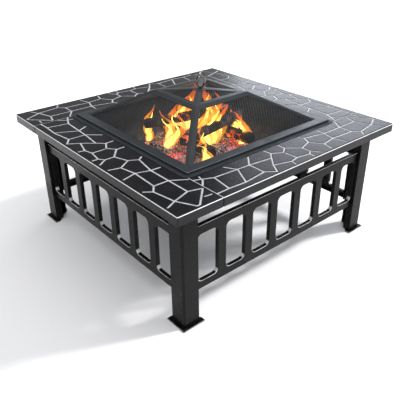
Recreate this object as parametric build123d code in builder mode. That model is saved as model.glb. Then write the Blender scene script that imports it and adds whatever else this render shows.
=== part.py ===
from build123d import *
import os

# Square fire pit table: a folded steel table, a lift-out bowl, a log grate and a spark screen.
# Millimetres. Origin at the centre of the footprint on the ground, +Z up, front is -Y.

# ---- table top -----------------------------------------------------------------------------
top_size = 812.0            # outside of the square top
top_height = 362.0          # top surface above the ground
top_panel_width = 130.0     # each of the four top panels, from the rim to the opening
top_panel_sheet = 1.5
top_rim = 25.0              # depth of the turned-down edges
top_edge_radius = 3.0
seam_gap = 0.4              # between neighbouring top panels
seam_bolt_depth = 13.75     # below the top surface
seam_bolt_inset = 28.6      # first and last seam bolt from the panel's inner and outer edges
fillet_margin = 0.1         # bends stay this much under the sheet's thickness

# ---- legs and feet -------------------------------------------------------------------------
top_overhang = 40.0         # top beyond the legs' outer faces
leg_flange = 48.0
leg_lip = 24.0              # returned edge of each leg flange
leg_sheet = 2.0
leg_bend_radius = 6.0
leg_lip_radius = 3.0
foot_sheet = 3.0
foot_overhang = 9.0         # foot plate beyond the leg's outer faces
foot_side = 69.0            # long side of the foot plate
foot_tip = 15.0             # blunt end of the foot plate
top_plate_sheet = 3.0       # plate inside the leg that the top is fastened to

# ---- side panels ---------------------------------------------------------------------------
panel_sheet = 1.5
panel_bottom = 91.0         # above the ground
panel_drop = 86.5           # panel's top edge below the top surface
panel_recess = 9.5          # behind the legs' outer faces
panel_edge_flange = 12.0    # along the top and the bottom
panel_end_flange = 23.0     # against the legs' lips
slot_count = 7
slot_width = 66.0
panel_end_bar = 6.0         # between an end slot and the leg
slot_corner = 14.0
slot_lip = 11.0             # turned-in edge of each slot
rail_top = 25.0             # panel above the slots
rail_bottom = 23.0          # panel below the slots

# ---- M6 fasteners --------------------------------------------------------------------------
bolt_radius = 3.0
bolt_clearance = 0.3        # radial, in sheet holes
thread_gap = 0.1            # radial, in nuts and washers
bolt_head_radius = 5.0
bolt_head_height = 3.5
nut_across_flats = 10.0
nut_height = 5.0
washer_radius = 6.0
washer_sheet = 1.2
bolt_tail = 2.0             # bolt past its nut
stud_length = 17.0          # below the top sheet
stud_spread = 9.0           # each stud from the middle of its leg, along X and Y

# ---- bowl ----------------------------------------------------------------------------------
bowl_sheet = 1.2
bowl_clearance = 14.0       # inside of the bowl's mouth to the edge of the opening
bowl_flange = 23.5          # width, from the mouth outwards
bowl_draw = 62.0            # how far each wall slopes in, from mouth to floor
bowl_depth = 108.0
bowl_flange_corner = 20.0
bowl_mouth_corner = 30.0
bowl_floor_corner = 45.0
bowl_floor_radius = 12.0
bowl_lip_radius = 0.7       # rounded upper edge of the flange

# ---- spark screen --------------------------------------------------------------------------
screen_overlap = 9.0        # base frame beyond the bowl's mouth, on its flange
screen_frame_width = 27.0
screen_frame_sheet = 1.5
screen_skirt = 4.5          # the base frame's flat above its seat
screen_hem = 1.0            # mesh and strips above the bowl's flange
screen_fold_size = 196.0    # across the fold between the sloping sides and the cap
screen_fold_height = 81.0   # above the base frame
screen_cap_rise = 7.0       # from the fold to the peak
strip_sheet = 1.0
strip_width = 21.0          # hip strips, seen from above
belt_outer = 13.0           # belt strip outside the fold, seen from above
belt_inner = 15.0           # belt strip inside the fold
hub_radius = 22.0           # round plate at the peak, under the ring
peak_flat = 20.0            # across the flat middle of the plate
mesh_sheet = 1.0
ring_radius = 16.8          # to the middle of the wire
ring_wire = 2.8             # radius
ring_sink = 1.0             # ring into its collar, where it is welded
collar_radius = 7.0
collar_height = 2.5
collar_edge_radius = 0.8

# ---- log grate and fuel --------------------------------------------------------------------
grate_rod = 4.0             # radius
grate_clearance = 50.0      # grate to the edge of the bowl's floor
grate_foot = 16.0           # floor to the middle of the rails
grate_rail_inset = 45.0     # rails from the grate's front and back edges
grate_bend = 12.0
grate_bar_count = 8
weld_gap = 0.1
seat_gap = 0.3
ember_spill = 10.0          # ember bed beyond the grate
ember_slope = 40.0          # how far each edge of the heap slopes in
ember_depth = 16.0
ember_corner_share = 0.3125   # corner radius over the width of the ember bed's foot
log_low_radius = 19.0
log_high_radius = 16.0
log_inset = 5.0             # log ends inside the grate's edge
log_end_bevel = 3.0
log_turn = 8.0              # degrees that the low logs lean off the Y axis
high_log_turn = 12.0        # degrees that the high logs lean off the X axis
log_spread_share = 0.2      # logs' middles from the centre, of the grate's size

# ---- worked out ----------------------------------------------------------------------------
top_half = top_size / 2
opening_half = top_half - top_panel_width
top_underside = top_height - top_panel_sheet
leg_half = top_half - top_overhang
leg_middle = leg_half - leg_flange / 2
panel_half = leg_half - leg_flange
panel_face = leg_half - panel_recess
panel_top = top_height - panel_drop
panel_height = panel_top - panel_bottom
slot_pitch = (2 * (panel_half - panel_end_bar) - slot_width) / (slot_count - 1)
slot_height = panel_height - rail_top - rail_bottom
slot_middle = panel_bottom + rail_bottom + slot_height / 2
bowl_mouth = 2 * (opening_half - bowl_clearance)
bowl_flange_size = bowl_mouth + 2 * bowl_flange
bowl_floor = bowl_mouth - 2 * bowl_draw
bowl_seat = top_height + bowl_sheet
bowl_floor_z = bowl_seat - bowl_depth
screen_frame_z = bowl_seat + screen_skirt + screen_frame_sheet
screen_size = bowl_mouth + 2 * screen_overlap
screen_half = screen_size / 2
screen_inner = screen_half - screen_frame_width
fold_half = screen_fold_size / 2
fold_z = screen_frame_z + screen_fold_height
peak_z = fold_z + screen_cap_rise
grate_size = bowl_floor - 2 * grate_clearance
ember_base = grate_size + 2 * ember_spill
ember_corner = ember_corner_share * ember_base
ember_top = ember_base - 2 * ember_slope
log_length = grate_size - 2 * log_inset
rail_z = bowl_floor_z + grate_foot
bar_z = rail_z + 2 * grate_rod + weld_gap
ember_z = bar_z + grate_rod + seat_gap
log_low_z = ember_z + ember_depth + seat_gap + log_low_radius
log_high_z = log_low_z + log_low_radius + seat_gap + log_high_radius

SIDES = {"front": 0, "right": 90, "back": 180, "left": 270}
CORNERS = {"front_left": 0, "front_right": 90, "back_right": 180, "back_left": 270}
LOW = (Align.MIN, Align.MIN)

os.makedirs("parts", exist_ok=True)


def write(piece, name):
    piece.label = name
    export_step(piece, f"parts/{name}.step")


def write_turned(piece, stem, turns):
    """One node for each quarter turn of the same piece."""
    for place, angle in turns.items():
        write(piece.rotate(Axis.Z, angle), f"{stem}_{place}")


def write_group(pieces, name):
    """One node that holds several separate solids."""
    write(Compound(children=list(pieces)), name)


def quarter_turns(pieces):
    """The same pieces at all four quarter turns about the middle."""
    return [piece.rotate(Axis.Z, angle) for angle in SIDES.values() for piece in pieces]


# ---- legs ----------------------------------------------------------------------------------
# A folded angle with both flanges outside and a returned lip on each free edge.
with BuildPart() as leg:
    with BuildSketch(Plane.XY.offset(foot_sheet)) as leg_section:
        with Locations((-leg_half, -leg_half)):
            Rectangle(leg_flange, leg_sheet, align=LOW)
            Rectangle(leg_sheet, leg_flange, align=LOW)
        with Locations((-leg_half + leg_flange - leg_sheet, -leg_half)):
            Rectangle(leg_sheet, leg_lip, align=LOW)
        with Locations((-leg_half, -leg_half + leg_flange - leg_sheet)):
            Rectangle(leg_lip, leg_sheet, align=LOW)
        corners = leg_section.vertices()
        outer_bend = corners.sort_by_distance((-leg_half, -leg_half))[0]
        inner_bend = corners.sort_by_distance((-leg_half + leg_sheet, -leg_half + leg_sheet))[0]
        lip_bends = [
            corners.sort_by_distance((-leg_half + leg_flange, -leg_half))[0],
            corners.sort_by_distance((-leg_half, -leg_half + leg_flange))[0],
        ]
        fillet(outer_bend, leg_bend_radius)
        fillet(inner_bend, leg_bend_radius - leg_sheet)
        fillet(lip_bends, min(leg_lip_radius, leg_sheet - fillet_margin))
    extrude(amount=top_underside - foot_sheet)
    bolt_y = -(panel_face - panel_sheet + leg_half - leg_lip) / 2
    bolt_heights = (panel_bottom + rail_bottom / 2, panel_top - rail_top / 2)
    bolt_hole = bolt_radius + bolt_clearance
    for height in bolt_heights:
        with BuildSketch(Plane.YZ.offset(-panel_half - 2 * leg_sheet)):
            with Locations((bolt_y, height)):
                Circle(bolt_hole)
        extrude(amount=3 * leg_sheet, mode=Mode.SUBTRACT)
        with BuildSketch(Plane.XZ.offset(panel_half - leg_sheet)):
            with Locations((bolt_y, height)):
                Circle(bolt_hole)
        extrude(amount=3 * leg_sheet, mode=Mode.SUBTRACT)
write_turned(leg.part, "leg", CORNERS)

# ---- foot plates ---------------------------------------------------------------------------
# A right-angled triangle with blunt tips, welded under the leg.
foot_corner = -leg_half - foot_overhang
with BuildPart() as foot_plate:
    with BuildSketch():
        with BuildLine():
            Polyline(
                (foot_corner, foot_corner),
                (foot_corner + foot_side, foot_corner),
                (foot_corner + foot_side, foot_corner + foot_tip),
                (foot_corner + foot_tip, foot_corner + foot_side),
                (foot_corner, foot_corner + foot_side),
                close=True,
            )
        make_face()
    extrude(amount=foot_sheet)
write_turned(foot_plate.part, "foot_plate", CORNERS)

# ---- plates inside the leg tops ------------------------------------------------------------
plate_side = leg_flange - 2 * leg_sheet
stud_places = [
    (-leg_middle - stud_spread, -leg_middle + stud_spread),
    (-leg_middle + stud_spread, -leg_middle - stud_spread),
]
with BuildPart() as leg_top_plate:
    with BuildSketch(Plane.XY.offset(top_underside - top_plate_sheet)) as plate_outline:
        with Locations((-leg_middle, -leg_middle)):
            Rectangle(plate_side, plate_side)
        outer_corner = plate_outline.vertices().sort_by_distance((-leg_half, -leg_half))[0]
        fillet(outer_corner, leg_bend_radius - leg_sheet)
        with Locations(*stud_places):
            Circle(bolt_radius + bolt_clearance, mode=Mode.SUBTRACT)
    extrude(amount=top_plate_sheet)
write_turned(leg_top_plate.part, "leg_top_plate", CORNERS)


# ---- side panels ---------------------------------------------------------------------------
def slot_outline(margin):
    """All the slots of one side panel, grown by a margin on every side."""
    with Locations((0, slot_middle)):
        with GridLocations(slot_pitch, 1, slot_count, 1):
            RectangleRounded(slot_width + 2 * margin, slot_height + 2 * margin, slot_corner + margin)


with BuildPart() as side_panel:
    # face, folded flanges and the slots' turned-in lips
    with BuildSketch(Plane.XZ.offset(panel_face)):
        with Locations((0, panel_bottom + panel_height / 2)):
            Rectangle(2 * panel_half, panel_height)
    extrude(amount=-panel_sheet)
    with BuildSketch(Plane.XZ.offset(panel_face)):
        with Locations((0, panel_top - panel_sheet / 2), (0, panel_bottom + panel_sheet / 2)):
            Rectangle(2 * panel_half, panel_sheet)
    extrude(amount=-panel_edge_flange)
    with BuildSketch(Plane.XZ.offset(panel_face)):
        with Locations((0, panel_bottom + panel_height / 2)):
            with GridLocations(2 * panel_half - panel_sheet, 1, 2, 1):
                Rectangle(panel_sheet, panel_height)
    extrude(amount=-panel_end_flange)
    with BuildSketch(Plane.XZ.offset(panel_face)):
        slot_outline(panel_sheet)
    extrude(amount=-slot_lip)
    with BuildSketch(Plane.XZ.offset(panel_face)):
        slot_outline(0)
    extrude(amount=-slot_lip, mode=Mode.SUBTRACT)
    front_face = side_panel.faces().sort_by(Axis.Y)[0]
    bends = front_face.inner_wires().edges() + front_face.outer_wire().edges().filter_by(Axis.X)
    fillet(bends, panel_sheet - fillet_margin)
    for height in bolt_heights:
        with BuildSketch(Plane.YZ.offset(-panel_half - panel_sheet)):
            with Locations((bolt_y, height)):
                Circle(bolt_hole)
        extrude(amount=2 * panel_half + 2 * panel_sheet, mode=Mode.SUBTRACT)
write_turned(side_panel.part, "side_panel", SIDES)

# ---- top panels ----------------------------------------------------------------------------
# Four equal inverted trays laid in a pinwheel. Each covers one corner, and its plain end is
# bolted to the inner wall of its neighbour.
panel_start = -opening_half + seam_gap / 2
panel_length = top_half - panel_start
seam_bolt_z = top_height - seam_bolt_depth
seam_bolts = [opening_half + seam_bolt_inset, top_half - seam_bolt_inset]
with BuildPart() as top_panel:
    with BuildSketch(Plane.XY.offset(top_height - top_rim)):
        with Locations((panel_start, -top_half)):
            Rectangle(panel_length, top_panel_width - seam_gap / 2, align=LOW)
    extrude(amount=top_rim)
    upright = top_panel.edges().filter_by(Axis.Z)
    fillet(upright, top_edge_radius)
    fillet(top_panel.faces().sort_by(Axis.Z)[-1].edges(), top_edge_radius - 2 * fillet_margin)
    offset(amount=-top_panel_sheet, openings=top_panel.faces().sort_by(Axis.Z)[0])
    with BuildSketch(Plane.YZ.offset(panel_start - top_panel_sheet)):
        with Locations(*[(-place, seam_bolt_z) for place in seam_bolts]):
            Circle(bolt_hole)
    extrude(amount=3 * top_panel_sheet, mode=Mode.SUBTRACT)
    with BuildSketch(Plane.XZ.offset(opening_half - top_panel_sheet)):
        with Locations(*[(place, seam_bolt_z) for place in seam_bolts]):
            Circle(bolt_hole)
    extrude(amount=3 * top_panel_sheet, mode=Mode.SUBTRACT)
write_turned(top_panel.part, "top_panel", SIDES)


# ---- fasteners -----------------------------------------------------------------------------
def bolt(seat, grip):
    """Button head bolt. The head sits on the seat plane, the shank runs against its normal."""
    with BuildPart() as made:
        with BuildSketch(seat):
            Circle(bolt_head_radius)
        extrude(amount=bolt_head_height)
        fillet(made.faces().filter_by(GeomType.PLANE).sort_by_distance(
            seat.origin + seat.z_dir * bolt_head_height)[0].edges(), bolt_head_height / 2)
        with BuildSketch(seat):
            Circle(bolt_radius)
        extrude(amount=-(grip + nut_height + bolt_tail))
    return made.part


def ring_piece(seat, outer, thickness):
    """Washer on the seat plane."""
    with BuildPart() as made:
        with BuildSketch(seat):
            Circle(outer)
            Circle(bolt_radius + thread_gap, mode=Mode.SUBTRACT)
        extrude(amount=thickness)
    return made.part


def nut(seat):
    """Hexagon nut on the seat plane."""
    with BuildPart() as made:
        with BuildSketch(seat):
            RegularPolygon(nut_across_flats / 2, 6, major_radius=False)
            Circle(bolt_radius + thread_gap, mode=Mode.SUBTRACT)
        extrude(amount=nut_height)
    return made.part


# side panels to legs: heads inside the panel's end flange, nuts inside the leg
side_bolts = []
side_nuts = []
for side in (-1, 1):
    for height in bolt_heights:
        head_seat = Plane((side * (panel_half - panel_sheet), bolt_y, height), z_dir=(-side, 0, 0))
        nut_seat = Plane((side * (panel_half + leg_sheet), bolt_y, height), z_dir=(side, 0, 0))
        side_bolts.append(bolt(head_seat, panel_sheet + leg_sheet))
        side_nuts.append(nut(nut_seat))
write_group(quarter_turns(side_bolts), "side_panel_bolts")
write_group(quarter_turns(side_nuts), "side_panel_nuts")

# top panel to top panel, below the seams
seam_bolt_parts = []
seam_nut_parts = []
for place in seam_bolts:
    head_seat = Plane((panel_start + top_panel_sheet, -place, seam_bolt_z), z_dir=(1, 0, 0))
    nut_seat = Plane((-opening_half - seam_gap / 2 - top_panel_sheet, -place, seam_bolt_z),
                     z_dir=(-1, 0, 0))
    seam_bolt_parts.append(bolt(head_seat, 2 * top_panel_sheet + seam_gap))
    seam_nut_parts.append(nut(nut_seat))
write_group(quarter_turns(seam_bolt_parts), "seam_bolts")
write_group(quarter_turns(seam_nut_parts), "seam_nuts")

# studs welded under the top panels, through the leg top plates
plate_underside = top_underside - top_plate_sheet
studs = []
stud_washers = []
stud_nuts = []
for x, y in stud_places:
    with BuildPart() as stud:
        with BuildSketch(Plane((x, y, top_underside))):
            Circle(bolt_radius)
        extrude(amount=-stud_length)
    studs.append(stud.part)
    stud_washers.append(ring_piece(Plane((x, y, plate_underside), z_dir=(0, 0, -1)),
                                   washer_radius, washer_sheet))
    stud_nuts.append(nut(Plane((x, y, plate_underside - washer_sheet), z_dir=(0, 0, -1))))
write_group(quarter_turns(studs), "top_studs")
write_group(quarter_turns(stud_washers), "top_stud_washers")
write_group(quarter_turns(stud_nuts), "top_stud_nuts")

# ---- fire bowl -----------------------------------------------------------------------------
# A pressed square pan that hangs by its flange on the edge of the opening.
with BuildPart() as bowl_inside:
    with BuildSketch(Plane.XY.offset(bowl_seat)):
        RectangleRounded(bowl_mouth, bowl_mouth, bowl_mouth_corner)
    with BuildSketch(Plane.XY.offset(bowl_floor_z)):
        RectangleRounded(bowl_floor, bowl_floor, bowl_floor_corner)
    loft()
    fillet(bowl_inside.faces().sort_by(Axis.Z)[0].edges(), bowl_floor_radius)

with BuildPart() as fire_bowl:
    with BuildSketch(Plane.XY.offset(bowl_seat)):
        RectangleRounded(bowl_mouth + 2 * bowl_sheet, bowl_mouth + 2 * bowl_sheet,
                         bowl_mouth_corner + bowl_sheet)
    with BuildSketch(Plane.XY.offset(bowl_floor_z - bowl_sheet)):
        RectangleRounded(bowl_floor + 2 * bowl_sheet, bowl_floor + 2 * bowl_sheet,
                         bowl_floor_corner + bowl_sheet)
    loft()
    fillet(fire_bowl.faces().sort_by(Axis.Z)[0].edges(), bowl_floor_radius + bowl_sheet)
    with BuildSketch(Plane.XY.offset(top_height)):
        RectangleRounded(bowl_flange_size, bowl_flange_size, bowl_flange_corner)
    extrude(amount=bowl_sheet)
    fillet(fire_bowl.faces().sort_by(Axis.Z)[-1].edges(), bowl_lip_radius)
    add(bowl_inside.part, mode=Mode.SUBTRACT)
write(fire_bowl.part, "fire_bowl")

# ---- log grate -----------------------------------------------------------------------------
grate_half = grate_size / 2
with BuildPart() as grate_rail:
    with BuildLine() as rail_path:
        FilletPolyline(
            (-grate_half, -grate_half + grate_rail_inset, bowl_floor_z),
            (-grate_half, -grate_half + grate_rail_inset, rail_z),
            (grate_half, -grate_half + grate_rail_inset, rail_z),
            (grate_half, -grate_half + grate_rail_inset, bowl_floor_z),
            radius=grate_bend,
        )
    with BuildSketch(Plane((-grate_half, -grate_half + grate_rail_inset, bowl_floor_z))):
        Circle(grate_rod)
    sweep()
write_turned(grate_rail.part, "grate_rail", {"front": 0, "back": 180})

with BuildPart() as grate_bars:
    with BuildSketch(Plane.XZ.offset(-grate_half)):
        with Locations((0, bar_z)):
            with GridLocations((grate_size - 2 * grate_bend) / (grate_bar_count - 1), 1,
                               grate_bar_count, 1):
                Circle(grate_rod)
    extrude(amount=grate_size)
write(grate_bars.part, "grate_bars")

# ---- fuel ----------------------------------------------------------------------------------
with BuildPart() as ember_bed:
    with BuildSketch(Plane.XY.offset(ember_z)):
        RectangleRounded(ember_base, ember_base, ember_corner)
    with BuildSketch(Plane.XY.offset(ember_z + ember_depth)):
        RectangleRounded(ember_top, ember_top, ember_corner)
    loft()
write(ember_bed.part, "ember_bed")


def log(x, y, z, radius, heading):
    """A charred log that lies flat along its heading."""
    along = Vector(1, 0, 0).rotate(Axis.Z, heading)
    with BuildPart() as made:
        with BuildSketch(Plane((x, y, z), x_dir=(0, 0, 1), z_dir=along)):
            Circle(radius)
        extrude(amount=log_length / 2, both=True)
        chamfer(made.edges().filter_by(GeomType.CIRCLE), log_end_bevel)
    return made.part


log_spread = log_spread_share * grate_size
write(log(-log_spread, 0, log_low_z, log_low_radius, 90 - log_turn), "log_low_left")
write(log(log_spread, 0, log_low_z, log_low_radius, 90 + log_turn), "log_low_right")
write(log(0, -log_spread, log_high_z, log_high_radius, high_log_turn), "log_high_front")
write(log(0, log_spread, log_high_z, log_high_radius, 180 - high_log_turn), "log_high_back")

# ---- spark screen --------------------------------------------------------------------------
with BuildPart() as screen_frame:
    with BuildSketch(Plane.XY.offset(bowl_seat)):
        Rectangle(screen_size, screen_size)
        Rectangle(screen_size - 2 * screen_frame_sheet, screen_size - 2 * screen_frame_sheet,
                  mode=Mode.SUBTRACT)
    extrude(amount=screen_skirt)
    with BuildSketch(Plane.XY.offset(bowl_seat + screen_skirt)):
        Rectangle(screen_size, screen_size)
        Rectangle(2 * screen_inner, 2 * screen_inner, mode=Mode.SUBTRACT)
    extrude(amount=screen_frame_sheet)
    rim = screen_frame.faces().sort_by(Axis.Z)[-1].outer_wire().edges()
    fillet(rim, screen_frame_sheet - fillet_margin)
write(screen_frame.part, "screen_frame")


screen_slope = (screen_inner - fold_half) / (screen_fold_height + screen_frame_sheet)
screen_hem_z = bowl_seat + screen_hem


def roof(drop):
    """The screen's outer shape as a solid, lowered by drop. Its hem slopes on under the frame."""
    hem_half = screen_inner + (screen_frame_z - screen_frame_sheet - screen_hem_z) * screen_slope
    with BuildPart() as made:
        with BuildSketch(Plane.XY.offset(screen_hem_z)):
            Rectangle(2 * (hem_half - drop * screen_slope), 2 * (hem_half - drop * screen_slope))
        with BuildSketch(Plane.XY.offset(fold_z - drop)):
            Rectangle(2 * fold_half, 2 * fold_half)
        loft()
        with BuildSketch(Plane.XY.offset(fold_z - drop)):
            Rectangle(2 * fold_half, 2 * fold_half)
        with BuildSketch(Plane.XY.offset(peak_z - drop)):
            Rectangle(peak_flat, peak_flat)
        loft()
    return made.part


def layer(drop, thickness):
    """A sheet of constant upright thickness under the screen's outer shape."""
    with BuildPart() as made:
        add(roof(drop))
        add(roof(drop + thickness), mode=Mode.SUBTRACT)
    return made.part


strips = layer(0, strip_sheet)
mesh = layer(strip_sheet, mesh_sheet)
above = Plane.XY.offset(peak_z + screen_skirt)
through = -(peak_z + screen_skirt)
diagonal = 2 * screen_size

with BuildPart() as hip_strip:
    add(strips)
    with BuildSketch(above):
        with Locations(Location((0, 0), 45)):
            Rectangle(diagonal, strip_width, align=(Align.MAX, Align.CENTER))
        Circle(hub_radius, mode=Mode.SUBTRACT)
    extrude(amount=through, mode=Mode.INTERSECT)
write_turned(hip_strip.part, "hip_strip", CORNERS)

with BuildPart() as belt_strip:
    add(strips)
    with BuildSketch(above):
        with Locations((0, -(fold_half - belt_inner))):
            Rectangle(2 * fold_half + 2 * belt_outer, belt_outer + belt_inner,
                      align=(Align.CENTER, Align.MAX))
        with Locations(Location((0, 0), 45), Location((0, 0), -45)):
            Rectangle(diagonal, strip_width, mode=Mode.SUBTRACT)
        with BuildLine():
            Polyline((0, 0), (-screen_half, -screen_half), (screen_half, -screen_half), close=True)
        make_face(mode=Mode.INTERSECT)
    extrude(amount=through, mode=Mode.INTERSECT)
write_turned(belt_strip.part, "belt_strip", SIDES)

with BuildPart() as screen_hub:
    add(strips)
    with BuildSketch(above):
        Circle(hub_radius)
        Circle(bolt_radius + bolt_clearance, mode=Mode.SUBTRACT)
    extrude(amount=through, mode=Mode.INTERSECT)
write(screen_hub.part, "screen_hub")

with BuildPart() as mesh_side:
    add(mesh)
    with BuildSketch(above):
        with BuildLine():
            Polyline(
                (-fold_half, -fold_half),
                (-screen_half, -screen_half),
                (screen_half, -screen_half),
                (fold_half, -fold_half),
                close=True,
            )
        make_face()
    extrude(amount=through, mode=Mode.INTERSECT)
write_turned(mesh_side.part, "mesh", SIDES)

with BuildPart() as mesh_cap:
    add(mesh)
    with BuildSketch(above):
        Rectangle(2 * fold_half, 2 * fold_half)
        Circle(bolt_radius + bolt_clearance, mode=Mode.SUBTRACT)
    extrude(amount=through, mode=Mode.INTERSECT)
write(mesh_cap.part, "mesh_cap")

# ---- ring handle ---------------------------------------------------------------------------
under_mesh_z = peak_z - strip_sheet - mesh_sheet
ring_z = peak_z + collar_height - ring_sink + ring_wire + ring_radius
with BuildPart() as ring_handle:
    with BuildSketch(Plane.XY.offset(peak_z)):
        Circle(collar_radius)
    extrude(amount=collar_height)
    fillet(ring_handle.faces().sort_by(Axis.Z)[-1].edges(), collar_edge_radius)
    with BuildSketch(Plane.XY.offset(peak_z)):
        Circle(bolt_radius)
    extrude(amount=-(strip_sheet + mesh_sheet + washer_sheet + nut_height + bolt_tail))
    with BuildSketch(Plane((0, ring_radius, ring_z))):
        Circle(ring_wire)
    revolve(axis=Axis((0, 0, ring_z), (1, 0, 0)))
write(ring_handle.part, "ring_handle")
hub_below = Plane((0, 0, under_mesh_z), z_dir=(0, 0, -1))
write(ring_piece(hub_below, washer_radius, washer_sheet), "handle_washer")
write(nut(hub_below.offset(washer_sheet)), "handle_nut")
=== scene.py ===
import math
import random

import bmesh
import bpy
from mathutils import Matrix, Vector, noise


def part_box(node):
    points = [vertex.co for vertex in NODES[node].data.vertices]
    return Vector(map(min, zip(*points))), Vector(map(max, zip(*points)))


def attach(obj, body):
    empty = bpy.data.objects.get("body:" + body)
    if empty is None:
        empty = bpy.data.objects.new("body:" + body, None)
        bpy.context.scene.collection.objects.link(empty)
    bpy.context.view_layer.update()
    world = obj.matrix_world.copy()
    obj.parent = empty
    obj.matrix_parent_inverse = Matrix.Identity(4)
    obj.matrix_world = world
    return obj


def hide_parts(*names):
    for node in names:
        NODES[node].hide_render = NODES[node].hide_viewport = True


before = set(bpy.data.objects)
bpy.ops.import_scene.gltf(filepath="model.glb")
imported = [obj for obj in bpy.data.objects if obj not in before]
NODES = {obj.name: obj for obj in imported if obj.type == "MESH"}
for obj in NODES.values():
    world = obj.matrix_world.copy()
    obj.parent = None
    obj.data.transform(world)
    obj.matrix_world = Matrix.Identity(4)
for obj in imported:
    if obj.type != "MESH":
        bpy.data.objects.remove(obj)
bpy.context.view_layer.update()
MM = 0.001
QUARTERS = {"front": 0, "right": 90, "back": 180, "left": 270}
CORNERS = ("front_left", "front_right", "back_right", "back_left")


# ---- meshes ----------------------------------------------------------------------------------
def add_object(name, bm, smooth=True):
    """A new object from a bmesh, in the row frame."""
    bmesh.ops.recalc_face_normals(bm, faces=bm.faces)
    mesh = bpy.data.meshes.new(name)
    bm.to_mesh(mesh)
    bm.free()
    if smooth:
        mesh.shade_smooth()
    made = bpy.data.objects.new(name, mesh)
    bpy.context.scene.collection.objects.link(made)
    return made


def finish_piece(piece, material, slot, body, *stands_for):
    piece.data.materials.clear()
    piece.data.materials.append(material)
    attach(piece, body)
    if stands_for:
        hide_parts(*stands_for)


def add_prism(bm, rings):
    """Closed tube through equal rings of points."""
    made = [[bm.verts.new(p) for p in ring] for ring in rings]
    count = len(made[0])
    for low, high in zip(made, made[1:]):
        for i in range(count):
            j = (i + 1) % count
            bm.faces.new((low[i], low[j], high[j], high[i]))
    bm.faces.new(list(reversed(made[0])))
    bm.faces.new(made[-1])


# ---- materials -------------------------------------------------------------------------------
# Noise scales are per metre. Colours are linear.
class Paint:
    """A node material with short helpers. Coordinates are object coordinates, in metres."""

    def __init__(self, name):
        self.material = bpy.data.materials.new(name)
        self.material.use_nodes = True
        self.tree = self.material.node_tree
        self.shader = self.tree.nodes["Principled BSDF"]
        coordinates = self.tree.nodes.new("ShaderNodeTexCoord")
        self.where = coordinates.outputs["Object"]
        self.facing = coordinates.outputs["Normal"]

    def link(self, start, end):
        self.tree.links.new(start, end)

    def noise(self, scale, detail=4.0, rough=0.55, stretch=None):
        node = self.tree.nodes.new("ShaderNodeTexNoise")
        node.inputs["Scale"].default_value = scale
        node.inputs["Detail"].default_value = detail
        node.inputs["Roughness"].default_value = rough
        start = self.where
        if stretch:
            mapping = self.tree.nodes.new("ShaderNodeMapping")
            mapping.inputs["Scale"].default_value = stretch
            self.link(start, mapping.inputs["Vector"])
            start = mapping.outputs["Vector"]
        self.link(start, node.inputs["Vector"])
        return node.outputs["Fac"]

    def height(self, low, high):
        """0 at height low, 1 at height high."""
        split = self.tree.nodes.new("ShaderNodeSeparateXYZ")
        self.link(self.where, split.inputs[0])
        return self.spread(split.outputs["Z"], low, high, 0.0, 1.0)

    def upward_bends(self):
        """1 on bends that face partly up, 0 on flats and upright faces."""
        split = self.tree.nodes.new("ShaderNodeSeparateXYZ")
        self.link(self.facing, split.inputs[0])
        rising = self.spread(split.outputs["Z"], 0.15, 0.35, 0.0, 1.0)
        return self.math("MULTIPLY", rising, self.spread(split.outputs["Z"], 0.78, 0.86, 1.0, 0.0))

    def attribute(self, name):
        node = self.tree.nodes.new("ShaderNodeAttribute")
        node.attribute_name = name
        return node.outputs["Fac"]

    def spread(self, value, from_low, from_high, to_low, to_high):
        node = self.tree.nodes.new("ShaderNodeMapRange")
        self.link(value, node.inputs["Value"])
        for name, number in (("From Min", from_low), ("From Max", from_high),
                             ("To Min", to_low), ("To Max", to_high)):
            node.inputs[name].default_value = number
        return node.outputs["Result"]

    def math(self, operation, a, b):
        node = self.tree.nodes.new("ShaderNodeMath")
        node.operation = operation
        for i, value in enumerate((a, b)):
            if isinstance(value, float):
                node.inputs[i].default_value = value
            else:
                self.link(value, node.inputs[i])
        return node.outputs[0]

    def ramp(self, value, *stops):
        node = self.tree.nodes.new("ShaderNodeValToRGB")
        elements = node.color_ramp.elements
        while len(elements) < len(stops):
            elements.new(0.5)
        for element, (place, colour) in zip(elements, stops):
            element.position = place
            element.color = (*colour, 1)
        self.link(value, node.inputs["Fac"])
        return node.outputs["Color"]

    def mix(self, factor, a, b):
        node = self.tree.nodes.new("ShaderNodeMix")
        node.data_type = "RGBA"
        self.link(factor, node.inputs["Factor"])
        for socket, value in ((node.inputs[6], a), (node.inputs[7], b)):
            if isinstance(value, tuple):
                socket.default_value = (*value, 1)
            else:
                self.link(value, socket)
        return node.outputs[2]

    def bump(self, value, strength, depth):
        node = self.tree.nodes.new("ShaderNodeBump")
        node.inputs["Strength"].default_value = strength
        node.inputs["Distance"].default_value = depth
        self.link(value, node.inputs["Height"])
        self.link(node.outputs["Normal"], self.shader.inputs["Normal"])

    def set(self, **sockets):
        for name, value in sockets.items():
            socket = self.shader.inputs[name.replace("_", " ")]
            if isinstance(value, (float, tuple)):
                socket.default_value = value
            else:
                self.link(value, socket)
        return self.material


def grey(level, tint=(1.0, 1.0, 1.0)):
    return tuple(level * part for part in tint)


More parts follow.
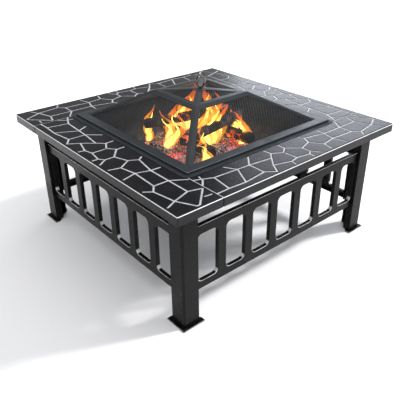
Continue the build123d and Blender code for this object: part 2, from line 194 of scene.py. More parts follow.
def coat(name, dark, light, rough_low, rough_high, metallic=0.0, speckle=900.0, tint=(1, 1, 1), gloss=0.5,
         edge=0.0):
    """Sprayed or baked paint: mottled tone, fine orange peel, a little dust, and, if edge is given, a
    painted highlight on bends that face partly up.
    """
    paint = Paint(name)
    tone = paint.ramp(paint.noise(9.0, 6.0), (0.3, grey(dark, tint)), (0.75, grey(light, tint)))
    dust = paint.spread(paint.noise(240.0, 3.0), 0.62, 0.8, 0.0, 0.16)
    peel = paint.noise(speckle, 2.0)
    paint.bump(peel, 0.16, 0.0004)
    tone = paint.mix(dust, tone, grey(light * 4 + 0.01, tint))
    # edge is the colour of a painted highlight on bends that face partly up, broken up by noise.
    if edge:
        patchy = paint.spread(paint.noise(35.0, 4.0), 0.3, 0.6, 0.4, 1.0)
        bend_highlight = paint.math("MULTIPLY", paint.upward_bends(), patchy)
        tone = paint.mix(bend_highlight, tone, grey(edge, tint))
    return paint.set(
        Base_Color=tone,
        Roughness=paint.spread(paint.noise(30.0, 5.0), 0.3, 0.7, rough_low, rough_high),
        Metallic=metallic,
        Specular_IOR_Level=gloss,
    )


def stone_enamel():
    """Black baked enamel on the embossed top, with a painted highlight: pale where the joints are pressed
    in, near white on the rounded rim.
    """
    paint = Paint("stone_enamel_look")
    stone = paint.ramp(paint.noise(14.0, 8.0, 0.6), (0.3, (0.003, 0.003, 0.004)),
                       (0.8, (0.008, 0.008, 0.010)))
    fleck = paint.spread(paint.noise(420.0, 2.0), 0.66, 0.74, 0.0, 0.5)
    stone = paint.mix(fleck, stone, (0.022, 0.023, 0.028))
    # Painted highlight: the joint floors and the rim's rounding turn pale, the rim's rounding near white.
    pale = paint.math("MULTIPLY", paint.height(PALE_HIGH, PALE_FULL), paint.height(EDGE_LOW, EDGE_FULL))
    painted_highlight = paint.ramp(paint.noise(60.0, 5.0), (0.25, (0.27, 0.275, 0.29)), (0.8, (0.5, 0.505, 0.53)))
    rim = paint.height(RIM_HIGHLIGHT_LOW, RIM_HIGHLIGHT_HIGH)
    painted_highlight = paint.mix(rim, (0.85, 0.86, 0.88), painted_highlight)
    paint.bump(paint.noise(260.0, 4.0), 0.2, 0.0005)
    return paint.set(
        Base_Color=paint.mix(pale, stone, painted_highlight),
        Roughness=paint.spread(paint.noise(40.0, 5.0), 0.3, 0.7, 0.24, 0.3),
        Specular_IOR_Level=0.24,
    )


def charred_wood():
    paint = Paint("charred_wood_look")
    crack = paint.attribute("crack")
    char = paint.ramp(paint.noise(70.0, 8.0, 0.65), (0.3, (0.006, 0.005, 0.005)),
                      (0.62, (0.035, 0.028, 0.026)), (0.8, (0.16, 0.14, 0.135)))
    ash = paint.spread(paint.noise(22.0, 6.0), 0.5, 0.72, 0.0, 0.75)
    tone = paint.mix(ash, char, (0.22, 0.19, 0.19))
    heat = paint.math("MULTIPLY", crack, paint.spread(paint.noise(11.0, 4.0), 0.46, 0.68, 0.0, 1.0))
    glow = paint.ramp(heat, (0.2, (0.0, 0.0, 0.0)), (0.55, (0.75, 0.08, 0.006)), (1.0, (1.0, 0.33, 0.05)))
    paint.bump(paint.noise(400.0, 6.0), 0.6, 0.0012)
    return paint.set(
        Base_Color=tone,
        Roughness=paint.spread(paint.noise(90.0), 0.2, 0.8, 0.75, 1.0),
        Emission_Color=glow,
        Emission_Strength=2.0,
    )


def ember_look():
    paint = Paint("embers_look")
    coal = paint.ramp(paint.noise(170.0, 7.0, 0.62), (0.36, (0.03, 0.02, 0.02)), (0.5, (0.2, 0.13, 0.13)),
                      (0.64, (0.86, 0.68, 0.7)))
    ash = paint.spread(paint.noise(42.0, 6.0), 0.48, 0.62, 0.0, 0.7)
    tone = paint.mix(ash, coal, (0.9, 0.76, 0.79))
    patch = paint.spread(paint.noise(11.0, 3.0), 0.48, 0.68, 0.0, 1.0)
    fine = paint.spread(paint.noise(110.0, 5.0), 0.46, 0.68, 0.0, 1.0)
    low = paint.height(EMBER_HOT_HIGH, EMBER_HOT_LOW)
    heat = paint.math("MULTIPLY", paint.math("MULTIPLY", patch, fine), low)
    glow = paint.ramp(heat, (0.03, (0.0, 0.0, 0.0)), (0.25, (0.55, 0.02, 0.004)), (0.6, (1.0, 0.13, 0.01)),
                      (1.0, (1.0, 0.42, 0.08)))
    paint.bump(paint.noise(500.0, 5.0), 0.6, 0.001)
    return paint.set(
        Base_Color=tone,
        Roughness=paint.spread(paint.noise(90.0), 0.2, 0.8, 0.8, 1.0),
        Emission_Color=glow,
        Emission_Strength=2.6,
    )


def cinder_look():
    """Dead coals: black char with grey and rusty ash."""
    paint = Paint("cinders_look")
    tone = paint.ramp(paint.noise(130.0, 7.0, 0.62), (0.3, (0.01, 0.009, 0.009)),
                      (0.58, (0.07, 0.055, 0.05)), (0.72, (0.42, 0.35, 0.36)))
    ash = paint.spread(paint.noise(30.0, 6.0), 0.46, 0.6, 0.0, 0.75)
    tone = paint.mix(ash, tone, (0.72, 0.6, 0.62))
    paint.bump(paint.noise(500.0, 5.0), 0.6, 0.001)
    return paint.set(Base_Color=tone, Roughness=paint.spread(paint.noise(90.0), 0.2, 0.8, 0.8, 1.0))


def heat_paint():
    """Matt heat paint on the bowl: soot higher up, ash and scale on the floor."""
    paint = Paint("heat_paint_look")
    tone = paint.ramp(paint.noise(16.0, 7.0, 0.6), (0.3, (0.007, 0.0095, 0.013)),
                      (0.75, (0.018, 0.024, 0.031)))
    floor = paint.height(BOWL_ASH_HIGH, BOWL_ASH_LOW)
    ash = paint.math("MULTIPLY", floor, paint.spread(paint.noise(45.0, 6.0), 0.35, 0.62, 0.1, 0.9))
    paint.bump(paint.noise(600.0, 3.0), 0.25, 0.0005)
    return paint.set(
        Base_Color=paint.mix(ash, tone, (0.13, 0.13, 0.135)),
        Roughness=paint.spread(paint.noise(35.0, 5.0), 0.3, 0.7, 0.42, 0.62),
    )


def ring_steel():
    """Plated ring, blued and browned by the heat."""
    paint = Paint("ring_steel_look")
    tone = paint.ramp(paint.noise(60.0, 4.0), (0.3, (0.10, 0.095, 0.09)), (0.55, (0.22, 0.19, 0.15)),
                      (0.8, (0.16, 0.17, 0.20)))
    paint.bump(paint.noise(900.0, 2.0), 0.1, 0.0003)
    return paint.set(
        Base_Color=tone,
        Roughness=paint.spread(paint.noise(120.0, 4.0), 0.3, 0.7, 0.2, 0.36),
        Metallic=1.0,
    )


# Heights at which the looks change: the painted highlight on the joints and rim of the stone, glow of the
# embers, ash in the bowl.
TOP_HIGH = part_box("top_panel_front")[1].z
GROOVE_DEPTH = 1.1 * MM
PALE_HIGH = TOP_HIGH - 0.6 * GROOVE_DEPTH
PALE_FULL = TOP_HIGH - 0.92 * GROOVE_DEPTH
EDGE_LOW = TOP_HIGH - 3.1 * MM
EDGE_FULL = TOP_HIGH - 2.7 * MM
# Band of the rim's rounding that is painted near white as a highlight.
RIM_HIGHLIGHT_LOW = TOP_HIGH - GROOVE_DEPTH - 0.35 * MM
RIM_HIGHLIGHT_HIGH = TOP_HIGH - GROOVE_DEPTH - 0.1 * MM
EMBER_LOW, EMBER_HIGH = (corner.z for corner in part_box("ember_bed"))
EMBER_HOT_LOW = EMBER_LOW - 4 * MM
EMBER_HOT_HIGH = EMBER_HIGH + 3 * MM
BOWL_ASH_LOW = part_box("fire_bowl")[0].z + 8 * MM
BOWL_ASH_HIGH = BOWL_ASH_LOW + 45 * MM

LOOKS = {
    # edge= is the colour of the painted highlight on bends that face partly up.
    "powder_coat": coat("powder_coat_look", 0.0035, 0.007, 0.24, 0.34, gloss=0.12, edge=0.8),
    "stone_enamel": stone_enamel(),
    "black_zinc": coat("black_zinc_look", 0.05, 0.12, 0.25, 0.4, metallic=1.0),
    "heat_paint": heat_paint(),
    "grate_steel": coat("grate_steel_look", 0.03, 0.075, 0.5, 0.75, metallic=0.4, tint=(1.0, 0.8, 0.68)),
    "embers": ember_look(),
    "charred_wood": charred_wood(),
    "screen_paint": coat("screen_paint_look", 0.018, 0.028, 0.3, 0.42, tint=(0.86, 1.0, 1.12), gloss=0.32,
                         edge=0.2),
    "wire_mesh": coat("wire_mesh_look", 0.06, 0.1, 0.35, 0.5, speckle=2000.0, tint=(0.88, 1.0, 1.1)),
    "ring_steel": ring_steel(),
}
FALLEN_LOOK = cinder_look()
for node in NODES.values():
    slot_name = node.data.materials[0].name
    node.data.materials.clear()
    node.data.materials.append(LOOKS[slot_name])


# ---- feet: the CAD plates with rounded edges, which take the powder coat's painted bend highlight ---
WELD = 0.002 * MM
FOOT_ROUNDING = 0.8 * MM
FLAT_ANGLE = math.radians(1)
SHARP_ANGLE = math.radians(40)


def rounded_feet():
    for corner in CORNERS:
        bm = bmesh.new()
        bm.from_mesh(NODES[f"foot_plate_{corner}"].data)
        bmesh.ops.remove_doubles(bm, verts=bm.verts, dist=WELD)
        bmesh.ops.dissolve_limit(bm, angle_limit=FLAT_ANGLE, verts=bm.verts, edges=bm.edges)
        sharp = [edge for edge in bm.edges if edge.calc_face_angle(0.0) > SHARP_ANGLE]
        bmesh.ops.bevel(bm, geom=sharp, offset=FOOT_ROUNDING, segments=3, profile=0.5, affect="EDGES",
                        clamp_overlap=True)
        foot = add_object(f"rounded_foot_{corner}", bm, smooth=False)
        finish_piece(foot, LOOKS["powder_coat"], "powder_coat", "table", f"foot_plate_{corner}")


# ---- top panels: pressed stone pattern ---------------------------------------------------------
# Joint lines of one panel in millimetres: along the panel, then in from its outer edge.
PATTERN_LENGTH = 690
PATTERN = (
    ((8, 22), (46, 23), (98, 20), (167, 29), (193, 10)),
    ((46, 23), (56, 86)),
    ((10, 107), (56, 86), (128, 82), (167, 80), (238, 72)),
    ((11, 75), (26, 92), (31, 112)),
    ((98, 22), (128, 80)),
    ((128, 82), (111, 112)),
    ((167, 29), (167, 80)),
    ((167, 80), (198, 115)),
    ((193, 10), (212, 40), (242, 75), (258, 92), (256, 115)),
    ((212, 40), (263, 25), (290, 31), (333, 24), (348, 35)),
    ((260, 8), (263, 25)),
    ((290, 31), (290, 69)),
    ((258, 92), (288, 75), (311, 92), (311, 115)),
    ((333, 8), (333, 24)),
    ((348, 35), (348, 62), (311, 92)),
    ((348, 35), (366, 10)),
    ((348, 62), (390, 76), (404, 101), (393, 115)),
    ((406, 10), (414, 40), (390, 76)),
    ((414, 40), (462, 49)),
    ((404, 101), (474, 87)),
    ((473, 10), (462, 49), (474, 87), (475, 114)),
    ((462, 49), (545, 45)),
    ((474, 87), (545, 87)),
    ((545, 45), (545, 87)),
    ((553, 10), (567, 28), (545, 45)),
    ((545, 87), (571, 125)),
    ((545, 87), (616, 87)),
    ((567, 28), (632, 38), (680, 62), (680, 70)),
    ((645, 10), (632, 38), (616, 87), (626, 121)),
    ((628, 122), (680, 70)),
    ((659, 102), (661, 120)),
)
GROOVE_TOP = 3.4 * MM       # half widths of a joint at the surface and at its floor
GROOVE_FLOOR = 1.6 * MM
CUT_ABOVE = 1.0 * MM        # the cutter goes on above the surface
END_SHRINK = 0.995          # end cones are a little smaller, so that no faces coincide
END_LIFT = 0.004 * MM
END_DROP = 0.01 * MM
SLIVER = 0.02 * MM          # edges this short are left over from the cut


def add_cone(bm, x, y, low_radius, high_radius, low, high, sides=12, start=0.37):
    """Round end of a joint line. Its corners start off-axis, so that none meets a wedge's corner."""
    rings = []
    for radius, z in ((low_radius, low), (high_radius, high)):
        turn = [2 * math.pi * (i + start) / sides for i in range(sides)]
        rings.append([Vector((x + radius * math.cos(a), y + radius * math.sin(a), z)) for a in turn])
    add_prism(bm, rings)


def groove_cutter():
    """The joint lines as one mesh of flat-bottomed wedges, for the front panel."""
    bm = bmesh.new()
    low = TOP_HIGH - GROOVE_DEPTH
    high = TOP_HIGH + CUT_ABOVE
    wide = GROOVE_TOP + (GROOVE_TOP - GROOVE_FLOOR) * CUT_ABOVE / GROOVE_DEPTH
    far_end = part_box("top_panel_front")[1].x
    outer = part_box("top_panel_front")[0].y
    ends = set()
    for line in PATTERN:
        spots = [Vector((far_end - (PATTERN_LENGTH - s) * MM, outer + t * MM, 0)) for s, t in line]
        ends.update((round(p.x, 5), round(p.y, 5)) for p in spots)
        for start, end in zip(spots, spots[1:]):
            side = (end - start).normalized().cross(Vector((0, 0, 1)))
            rings = []
            for spot in (start, end):
                rings.append([
                    spot - side * GROOVE_FLOOR + Vector((0, 0, low)),
                    spot + side * GROOVE_FLOOR + Vector((0, 0, low)),
                    spot + side * wide + Vector((0, 0, high)),
                    spot - side * wide + Vector((0, 0, high)),
                ])
            add_prism(bm, rings)
    for x, y in sorted(ends):
        add_cone(bm, x, y, GROOVE_FLOOR, wide * END_SHRINK, low + END_LIFT, high - END_DROP)
    return add_object("groove_cutter", bm, smooth=False)


def stone_panels():
    """Each top panel with its joints cut in: the front one, turned for the other three."""
    cutter = groove_cutter()
    panel = bpy.data.objects.new("stone_top", NODES["top_panel_front"].data.copy())
    bpy.context.scene.collection.objects.link(panel)
    welded = bmesh.new()
    welded.from_mesh(panel.data)
    bmesh.ops.remove_doubles(welded, verts=welded.verts, dist=WELD)
    welded.to_mesh(panel.data)
    welded.free()
    cut = panel.modifiers.new("grooves", "BOOLEAN")
    cut.operation = "DIFFERENCE"
    cut.object = cutter
    cut.solver = "EXACT"
    cut.use_self = True
    bpy.context.view_layer.update()
    shape = bpy.data.meshes.new_from_object(panel.evaluated_get(bpy.context.evaluated_depsgraph_get()))
    bpy.data.objects.remove(panel)
    bpy.data.objects.remove(cutter)
    clean = bmesh.new()
    clean.from_mesh(shape)
    bmesh.ops.triangulate(clean, faces=clean.faces)
    bmesh.ops.remove_doubles(clean, verts=clean.verts, dist=SLIVER)
    bmesh.ops.dissolve_degenerate(clean, edges=clean.edges, dist=SLIVER / 2)
    bmesh.ops.triangulate(clean, faces=clean.faces)
    flaps = [face for face in clean.faces if sum(edge.is_boundary for edge in face.edges) > 1]
    bmesh.ops.delete(clean, geom=flaps, context="FACES")
    clean.to_mesh(shape)
    clean.free()
    for name, angle in QUARTERS.items():
        turned = shape.copy()
        turned.transform(Matrix.Rotation(math.radians(angle), 4, "Z"))
        made = bpy.data.objects.new(f"stone_top_{name}", turned)
        bpy.context.scene.collection.objects.link(made)
        finish_piece(made, LOOKS["stone_enamel"], "stone_enamel", "table", f"top_panel_{name}")


# ---- spark screen: welded wire mesh ------------------------------------------------------------
WIRE = 0.36 * MM            # radius
WIRE_PITCH = 5.0 * MM
WIRE_LAYER = 0.9 * WIRE     # each layer's distance from the middle of the mesh
HALF_SHEET = 0.5 * MM       # half the thickness of the CAD's mesh sheets
CAP_HOLE = 12 * MM          # half width that the hub covers


def add_wire(bm, start, end, normal, radius=WIRE, sides=5):
    along = (end - start).normalized()
    across = along.cross(normal).normalized()
    rings = []
    for spot in (start, end):
        turn = [2 * math.pi * i / sides for i in range(sides)]
        rings.append([spot + radius * (math.cos(a) * across + math.sin(a) * normal) for a in turn])
    add_prism(bm, rings)


def add_lattice(bm, low_half, low_z, high_half, high_z):
    """Two crossing layers of wires on the front slope of a pyramid."""
    length = math.hypot(low_half - high_half, high_z - low_z)
    narrowing = (low_half - high_half) / length
    slope = Vector((0, low_half - high_half, high_z - low_z)) / length
    normal = Vector((1, 0, 0)).cross(slope)
    step = WIRE_PITCH * math.sqrt(2)
    count = int((low_half + length) / step)
    for lean in (1, -1):
        for i in range(-count, count + 1):
            shift = (i + 0.5) * step
            first = max(0.0, -(low_half + shift) / (1 - narrowing))
            last = min(length, (low_half - shift) / (1 + narrowing))
            if last - first < step:
                continue
            spots = []
            for v in (first, last):
                spots.append(Vector((lean * (shift + v), -low_half, low_z)) + slope * v
                             + normal * lean * WIRE_LAYER)
            add_wire(bm, spots[0], spots[1], normal)


def wire_screens():
    low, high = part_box("mesh_front")
    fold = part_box("mesh_cap")
    for name, angle in QUARTERS.items():
        bm = bmesh.new()
        add_lattice(bm, -low.y - HALF_SHEET, low.z + HALF_SHEET, -high.y, high.z - HALF_SHEET)
        bm.transform(Matrix.Rotation(math.radians(angle), 4, "Z"))
        side = add_object(f"wire_{name}", bm)
        finish_piece(side, LOOKS["wire_mesh"], "wire_mesh", "screen", f"mesh_{name}")
    bm = bmesh.new()
    for angle in QUARTERS.values():
        quarter = bmesh.new()
        add_lattice(quarter, fold[1].x - HALF_SHEET, fold[0].z + HALF_SHEET, CAP_HOLE,
                    fold[1].z - 1.5 * HALF_SHEET)
        quarter.transform(Matrix.Rotation(math.radians(angle), 4, "Z"))
        part = bpy.data.meshes.new("cap_part")
        quarter.to_mesh(part)
        quarter.free()
        bm.from_mesh(part)
        bpy.data.meshes.remove(part)
    cap = add_object("wire_cap", bm)
    finish_piece(cap, LOOKS["wire_mesh"], "wire_mesh", "screen", "mesh_cap")


# ---- fuel --------------------------------------------------------------------------------------
LOG_HEADINGS = {"log_low_left": 82, "log_low_right": 98, "log_high_front": 12, "log_high_back": 168}
LOG_ROUND = 48              # points round a log
LOG_STEPS = 110             # steps along it
CRACKS_ALONG = 38           # charcoal blocks per metre, along the log and round it
CRACKS_ROUND = 62
CRACK_WIDTH = 0.22          # share of a block
CRACK_DEPTH = 0.085         # share of the radius
SWELLS_ALONG = 9
SWELLS_ROUND = 0.9
SWELL = 0.05                # share of the radius
END_START = 0.955           # where the ends begin to round off, as a share of the half length
END_ROUNDING = 0.12
ROUGHNESS = (0.8, 2.0, 4)   # noise.fractal's falloff, step between octaves, and octaves


def charred_log(name, heading, seed):
    """A log with an uneven outline and the blocky cracks of charcoal."""
    low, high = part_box(name)
    centre = (low + high) / 2
    radius = (high.z - low.z) / 2
    angle = math.radians(heading)
    reach = max(high.x - low.x, high.y - low.y) / 2
    small, large = sorted((abs(math.cos(angle)), abs(math.sin(angle))))
    half = (reach - radius * small) / large
    place = Matrix.Translation(centre) @ Matrix.Rotation(angle, 4, "Z")
    bm = bmesh.new()
    layer = bm.verts.layers.float.new("crack")
    rings = []
    offset = Vector((seed * 7.3, seed * 3.1, seed * 5.7))
    for i in range(LOG_STEPS + 1):
        along = -half + 2 * half * i / LOG_STEPS
        ring = []
        for j in range(LOG_ROUND):
            a = 2 * math.pi * j / LOG_ROUND
            out = Vector((0, math.cos(a), math.sin(a)))
            spot = Vector((along * CRACKS_ALONG, 0, 0)) + out * radius * CRACKS_ROUND
            gaps = noise.voronoi(spot + offset)[0]
            crack = max(0.0, 1 - (gaps[1] - gaps[0]) / CRACK_WIDTH)
            lobes = Vector((along * SWELLS_ALONG, 0, 0)) + out * SWELLS_ROUND + offset
            swell = SWELL * noise.fractal(lobes, *ROUGHNESS)
            end_round = 1 - END_ROUNDING * max(0.0, abs(along) / half - END_START) / (1 - END_START)
            size = radius * (1 - SWELL + swell - CRACK_DEPTH * crack) * end_round
            vert = bm.verts.new(place @ (Vector((along, 0, 0)) + out * size))
            vert[layer] = crack
            ring.append(vert)
        rings.append(ring)
    for first, second in zip(rings, rings[1:]):
        for j in range(LOG_ROUND):
            k = (j + 1) % LOG_ROUND
            bm.faces.new((first[j], first[k], second[k], second[j]))
    for ring, way in ((rings[0], -1), (rings[-1], 1)):
        outer = ring
        for share in (0.8, 0.55, 0.3):
            inner = []
            for vert in ring:
                local = place.inverted() @ vert.co
                wobble = noise.noise(Vector((local.y, local.z, share)) * 160 + offset)
                inner.append(bm.verts.new(place @ Vector((local.x + way * MM * 1.2 * wobble,
                                                           local.y * share, local.z * share))))
                inner[-1][layer] = 0.45 * max(0.0, wobble)
            for j in range(LOG_ROUND):
                k = (j + 1) % LOG_ROUND
                bm.faces.new((outer[j], outer[k], inner[k], inner[j]))
            outer = inner
        bm.faces.new(outer)
    made = add_object(f"charred_{name}", bm)
    finish_piece(made, LOOKS["charred_wood"], "charred_wood", "grate", name)


LUMP_FACETS = 1.6           # facets and dents over a coal of radius 1
LUMP_DENTS = 1.9


def add_lump(bm, centre, radius, draw):
    """One angular coal, squashed and turned at random."""
    part = bmesh.new()
    bmesh.ops.create_icosphere(part, subdivisions=2, radius=1.0)
    squash = Vector((draw.uniform(0.7, 1.25), draw.uniform(0.7, 1.25), draw.uniform(0.5, 0.9)))
    turn = Matrix.Rotation(draw.uniform(0, math.tau), 3, "Z")
    turn = turn @ Matrix.Rotation(draw.uniform(-0.5, 0.5), 3, "X")
    offset = Vector((draw.uniform(0, 50), draw.uniform(0, 50), draw.uniform(0, 50)))
    for vert in part.verts:
        facet = noise.cell(vert.co * LUMP_FACETS + offset)
        rough = 0.84 + 0.18 * facet + 0.16 * noise.noise(vert.co * LUMP_DENTS + offset)
        vert.co = centre + turn @ Vector(a * b for a, b in zip(vert.co * rough * radius, squash))
    mesh = bpy.data.meshes.new("lump")
    part.to_mesh(mesh)
    part.free()
    bm.from_mesh(mesh)
    bpy.data.meshes.remove(mesh)


BED_RINGS = 44
BED_SECTORS = 132
BED_SQUARENESS = 3.2        # 2 would be round
BED_WAVES = 2.2             # how often the outline wanders
BED_SHRINK = 0.93           # keeps the outline inside the CAD bed
BED_WANDER = 0.06
BED_BUMPS = 45              # per metre
BED_LEVEL = 0.6             # mean height and bumps, as shares of the CAD bed's depth
BED_ROUGH = 0.32
BED_THIN = 0.06
BED_SHOULDER = 0.22         # share of the reach over which the heap falls to its edge
COAL_COUNT = 820
COAL_SIZES = (3.0, 8.5)     # mm


def bed_reach(angle, size):
    """Uneven rounded outline of the ember heap."""
    power = BED_SQUARENESS
    round_square = (abs(math.cos(angle)) ** power + abs(math.sin(angle)) ** power) ** (-1 / power)
    wobble = noise.fractal(Vector((math.cos(angle), math.sin(angle), 0)) * BED_WAVES, 0.8, 2.0, 3)
    return size * round_square * (BED_SHRINK + BED_WANDER * max(-1.0, min(1.0, wobble)))


def bed_height(x, y, share, depth):
    lift = BED_LEVEL + BED_ROUGH * noise.fractal(Vector((x, y, 0)) * BED_BUMPS, *ROUGHNESS)
    return depth * max(BED_THIN, lift) * min(1.0, (1 - share) / BED_SHOULDER) ** 0.7


def ember_bed():
    low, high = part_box("ember_bed")
    size = high.x
    depth = high.z - low.z
    bm = bmesh.new()
    middle = bm.verts.new((0, 0, low.z + BED_LEVEL * depth))
    rings = []
    for i in range(1, BED_RINGS + 1):
        share = i / BED_RINGS
        ring = []
        for j in range(BED_SECTORS):
            angle = math.tau * j / BED_SECTORS
            x = math.cos(angle) * bed_reach(angle, size) * share
            y = math.sin(angle) * bed_reach(angle, size) * share
            ring.append(bm.verts.new((x, y, low.z + 0.3 * MM + bed_height(x, y, share, depth))))
        rings.append(ring)
    under = [bm.verts.new((v.co.x, v.co.y, low.z)) for v in rings[-1]]
    rings.append(under)
    for j in range(BED_SECTORS):
        k = (j + 1) % BED_SECTORS
        bm.faces.new((middle, rings[0][j], rings[0][k]))
        for inner, outer in zip(rings, rings[1:]):
            bm.faces.new((inner[j], outer[j], outer[k], inner[k]))
    bm.faces.new(list(reversed(under)))
    bed = add_object("ember_ash", bm)
    finish_piece(bed, LOOKS["embers"], "embers", "grate", "ember_bed")
    draw = random.Random(11)
    bm = bmesh.new()
    for _ in range(COAL_COUNT):
        angle = draw.uniform(0, math.tau)
        share = math.sqrt(draw.uniform(0, 1)) * 0.98
        coal = draw.uniform(*COAL_SIZES) * MM
        x = math.cos(angle) * (bed_reach(angle, size) - coal) * share
        y = math.sin(angle) * (bed_reach(angle, size) - coal) * share
        z = low.z + bed_height(x, y, share, depth) + 0.35 * coal
        add_lump(bm, Vector((x, y, max(z, low.z + coal))), coal, draw)
    coals = add_object("ember_coals", bm, smooth=False)
    finish_piece(coals, LOOKS["embers"], "embers", "grate")


FALLEN_COUNT = 460
FALLEN_SIZES = (2.0, 6.5)   # mm
FALLEN_HALF = 0.186         # they lie in this square and inside this circle, most of them near this ring
FALLEN_CIRCLE = 0.238
FALLEN_RING = 0.15
FALLEN_THINNING = 18.0


def fallen_coals():
    """Small coals and clinker on the bowl's floor, round the grate."""
    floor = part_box("grate_rail_front")[0].z
    draw = random.Random(29)
    bm = bmesh.new()
    count = 0
    while count < FALLEN_COUNT:
        x = draw.uniform(-FALLEN_HALF, FALLEN_HALF)
        y = draw.uniform(-FALLEN_HALF, FALLEN_HALF)
        chance = 1.25 - FALLEN_THINNING * abs(max(abs(x), abs(y)) - FALLEN_RING)
        if draw.random() > chance or math.hypot(x, y) > FALLEN_CIRCLE:
            continue
        coal = draw.uniform(*FALLEN_SIZES) * MM
        add_lump(bm, Vector((x, y, floor + 0.55 * coal)), coal, draw)
        count += 1
    coals = add_object("fallen_coals", bm, smooth=False)
    finish_piece(coals, FALLEN_LOOK, "embers", "bowl")


# ---- flames ------------------------------------------------------------------------------------
FLAME_SIDES = 20
FLAME_STEPS = 34
FLAME_LOW = EMBER_HIGH
FLAME_HIGH = EMBER_HIGH + 130 * MM
FLAME_SUNK = 4 * MM         # feet below the top of the embers
FLAME_FLATNESS = 0.5
FLAME_TIP = 0.2 * MM
FLAME_HEADING = math.radians(-41)
UPRIGHT_GRAIN = (1.0, 1.0, 0.5)
FLAMES = (
    # x, y, height, width, sideways lean of the tip, sideways bow (mm)
    (-106, 122, 108, 44, 34, -16),
    (-128, 96, 62, 28, 10, 6),
    (-116, 20, 134, 48, 22, 38),
    (-96, 44, 104, 40, -16, 18),
    (-2, -40, 126, 92, 40, 0),
    (-34, -62, 140, 66, 50, -18),
    (30, -18, 147, 78, 8, 14),
    (72, -108, 106, 48, -44, 24),
    (90, -80, 84, 36, -18, 14),
    (-100, -138, 72, 38, -32, 12),
    (-66, -112, 92, 42, -18, -14),
    (8, 98, 146, 84, 10, 8),
    (82, 34, 148, 88, -14, -8),
    (46, 72, 147, 92, 0, 6),
    (-50, 62, 136, 62, 30, -14),
    (118, 72, 110, 50, -16, 8),
    (60, 126, 112, 54, 10, -6),
    (0, 2, 142, 66, 12, 10),
    (124, -20, 76, 34, -10, 6),
)


def flame_look(name, stops, strength, thin, thick):
    """Glowing gas: bright near the fuel, redder and thinner towards the tips."""
    paint = Paint(name)
    lick = paint.noise(22.0, 1.5, 0.5, stretch=UPRIGHT_GRAIN)
    rise = paint.height(FLAME_LOW, FLAME_HIGH)
    heat = paint.math("ADD", paint.math("MULTIPLY", rise, 0.8), paint.spread(lick, 0.35, 0.65, -0.15, 0.25))
    fade = paint.spread(heat, 0.25, 0.95, thick, thin)
    holes = paint.spread(paint.noise(34.0, 1.0, 0.5, stretch=UPRIGHT_GRAIN), 0.3, 0.46, 0.3, 1.0)
    return paint.set(
        Base_Color=(0.02, 0.01, 0.0, 1.0),
        Roughness=1.0,
        Specular_IOR_Level=0.0,
        Emission_Color=paint.ramp(heat, *stops),
        Emission_Strength=strength,
        Alpha=paint.math("MULTIPLY", fade, holes),
    )


def add_flame(bm, foot, height, width, lean, bow, seed):
    """One flat, curling tongue of flame as a closed shell."""
    offset = Vector((seed * 4.7, seed * 2.9, seed * 1.3))
    flat = Matrix.Rotation(FLAME_HEADING + 0.7 * noise.noise(offset), 3, "Z")
    rings = []
    for i in range(FLAME_STEPS + 1):
        t = i / FLAME_STEPS
        belly = 0.45 + 0.55 * math.sin(math.pi * min(1.0, t / 0.62 + 0.08))
        half = 0.5 * width * belly * max(0.0, 1 - t) ** 0.65 + FLAME_TIP
        curl = width * 0.7 * t * noise.noise(Vector((t * 3.2, 0, 0)) + offset)
        drift = width * 0.5 * t * noise.noise(Vector((0, t * 3.2, 0)) + offset)
        sideways = lean * t * t + bow * math.sin(math.pi * t) + curl
        middle = foot + flat @ Vector((sideways, drift, height * t))
        twist = Matrix.Rotation(0.9 * noise.noise(Vector((0, 0, t * 2.0)) + offset), 3, "Z")
        ring = []
        for j in range(FLAME_SIDES):
            a = 2 * math.pi * j / FLAME_SIDES
            edge = 1 + 0.18 * noise.noise(Vector((math.cos(a), math.sin(a), t * 5)) + offset)
            wide = half * edge
            spot = Vector((wide * math.cos(a), wide * FLAME_FLATNESS * math.sin(a), 0))
            ring.append(middle + flat @ (twist @ spot))
        rings.append(ring)
    add_prism(bm, rings)


def flames():
    """Orange tongues, each with a smaller and brighter one inside."""
    low = EMBER_HIGH - FLAME_SUNK
    for name, grow, look in (("flame_outer", 1.0, OUTER_FLAME), ("flame_core", 0.68, CORE_FLAME)):
        rise = 0.25 + 0.75 * grow
        bm = bmesh.new()
        for seed, (x, y, height, width, lean, bow) in enumerate(FLAMES, 1):
            foot = Vector((x * MM, y * MM, low))
            add_flame(bm, foot, height * rise * MM, width * grow * MM, lean * grow * MM,
                      bow * grow * MM, seed)
        made = add_object(name, bm)
        made.data.materials.append(look)
        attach(made, "grate")


OUTER_FLAME = flame_look("flame_outer_look", ((0.0, (1.0, 0.42, 0.03)), (0.35, (1.0, 0.32, 0.02)),
                         (0.7, (1.0, 0.17, 0.008)), (1.0, (0.85, 0.07, 0.004))), 2.0, 0.35, 0.45)
CORE_FLAME = flame_look("flame_core_look", ((0.0, (1.0, 0.85, 0.25)), (0.45, (1.0, 0.75, 0.13)),
                        (0.75, (1.0, 0.5, 0.04)), (1.0, (1.0, 0.2, 0.01))), 3.2, 0.5, 0.95)


rounded_feet()
stone_panels()
flames()
wire_screens()
for seed, (name, heading) in enumerate(LOG_HEADINGS.items(), 1):
    charred_log(name, heading, seed)
ember_bed()
fallen_coals()


# ---- studio ------------------------------------------------------------------------------------
FLOOR_REACH = 40.0
HORIZON_PALE = (0.97, 0.97, 0.98, 1)    # backdrop up to this height of the sky, then darker above
HORIZON_TOP = 0.16
SKY_DARK = (0.13, 0.133, 0.14, 1)
SKY_FROM = 0.34
CAMERA_PLACE = (-0.9545, -1.1369, 0.9199)
CAMERA_DOWN = 28.47         # degrees below level
CAMERA_TURN = -41.17
CAMERA_LENS = 46.64


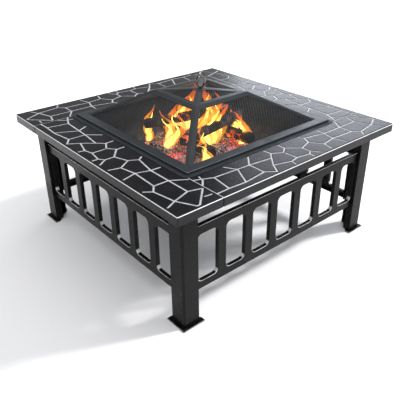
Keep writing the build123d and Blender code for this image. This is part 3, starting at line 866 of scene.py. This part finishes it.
def add_floor():
    bm = bmesh.new()
    signs = ((-1, -1), (1, -1), (1, 1), (-1, 1))
    bm.faces.new([bm.verts.new((x * FLOOR_REACH, y * FLOOR_REACH, 0)) for x, y in signs])
    floor = add_object("studio_floor", bm)
    paint = Paint("studio_floor_look")
    floor.data.materials.append(paint.set(
        Base_Color=paint.ramp(paint.noise(0.7, 3.0), (0.3, (0.86, 0.86, 0.87)), (0.7, (0.9, 0.9, 0.905))),
        Roughness=0.7,
    ))


def add_light(name, kind, place, target, energy, glossy=True, **settings):
    data = bpy.data.lights.new(name, kind)
    data.energy = energy
    for key, value in settings.items():
        setattr(data, key, value)
    light = bpy.data.objects.new(name, data)
    light.location = place
    light.rotation_euler = (Vector(target) - Vector(place)).to_track_quat("-Z", "Y").to_euler()
    light.visible_glossy = glossy
    bpy.context.scene.collection.objects.link(light)


def add_sky():
    """A pale backdrop that darkens overhead, so that upright faces stay dark but edged with light."""
    world = bpy.data.worlds.new("studio_world")
    world.use_nodes = True
    sky = world.node_tree
    direction = sky.nodes.new("ShaderNodeTexCoord")
    height = sky.nodes.new("ShaderNodeSeparateXYZ")
    shades = sky.nodes.new("ShaderNodeValToRGB")
    stops = ((HORIZON_TOP, HORIZON_PALE), (SKY_FROM, SKY_DARK))
    for element, (place, colour) in zip(shades.color_ramp.elements, stops):
        element.position = place
        element.color = colour
    sky.links.new(direction.outputs["Generated"], height.inputs[0])
    sky.links.new(height.outputs["Z"], shades.inputs["Fac"])
    sky.links.new(shades.outputs["Color"], sky.nodes["Background"].inputs["Color"])
    bpy.context.scene.world = world


def add_camera():
    data = bpy.data.cameras.new("camera")
    data.lens = CAMERA_LENS
    data.shift_x = -0.026
    data.shift_y = -0.0245
    data.clip_end = 200.0
    camera = bpy.data.objects.new("camera", data)
    camera.location = CAMERA_PLACE
    camera.rotation_euler = (math.radians(90 - CAMERA_DOWN), 0, math.radians(CAMERA_TURN))
    bpy.context.scene.collection.objects.link(camera)
    bpy.context.scene.camera = camera


add_floor()
add_light("key_sun", "SUN", (0.875, -0.366, 0.66), (0, 0, 0), 4.0, glossy=False, angle=math.radians(9))
add_light("sky_sun", "SUN", (0, 0, 1), (0, 0, 0), 1.3, glossy=False, angle=math.radians(120))
add_light("fill_top", "AREA", (-0.3, 0.2, 4.0), (0, 0, 0), 130.0, shape="SQUARE", size=7.0)
add_light("sheen_back", "AREA", (2.7, 1.65, 1.35), (0.2, 0, 0.36), 19.0, shape="RECTANGLE", size=1.5,
          size_y=1.2, color=(0.86, 0.9, 1.0))
add_sky()
add_camera()
bpy.context.scene.view_settings.view_transform = "Standard"
